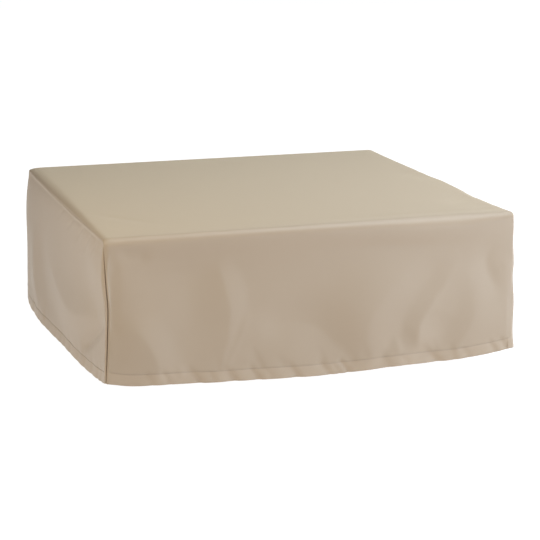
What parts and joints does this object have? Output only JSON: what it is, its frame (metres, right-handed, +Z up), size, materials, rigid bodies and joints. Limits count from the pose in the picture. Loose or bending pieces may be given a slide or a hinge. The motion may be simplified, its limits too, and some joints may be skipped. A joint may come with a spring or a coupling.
{
  "type": "coffee table cover",
  "caption": "Fitted cloth cover for a square coffee table: a flat top, four short drops with sewn corners, a turned-up hem and an open underside.",
  "frame": {"origin": "centre of the underside of the top, where the cover lies on what it is put over", "axes": "+X to the right along the front, +Y from the front to the back, +Z up"},
  "size_m": [1.0331, 0.9704, 0.3603],
  "materials": {
    "cloth": "closely woven coated cloth, warm sand beige, matte with a faint satin sheen"
  },
  "bodies": {
    "root": {"body_panel": "cloth", "end_panel_left": "cloth", "end_panel_right": "cloth"}
  },
  "joints": []
}
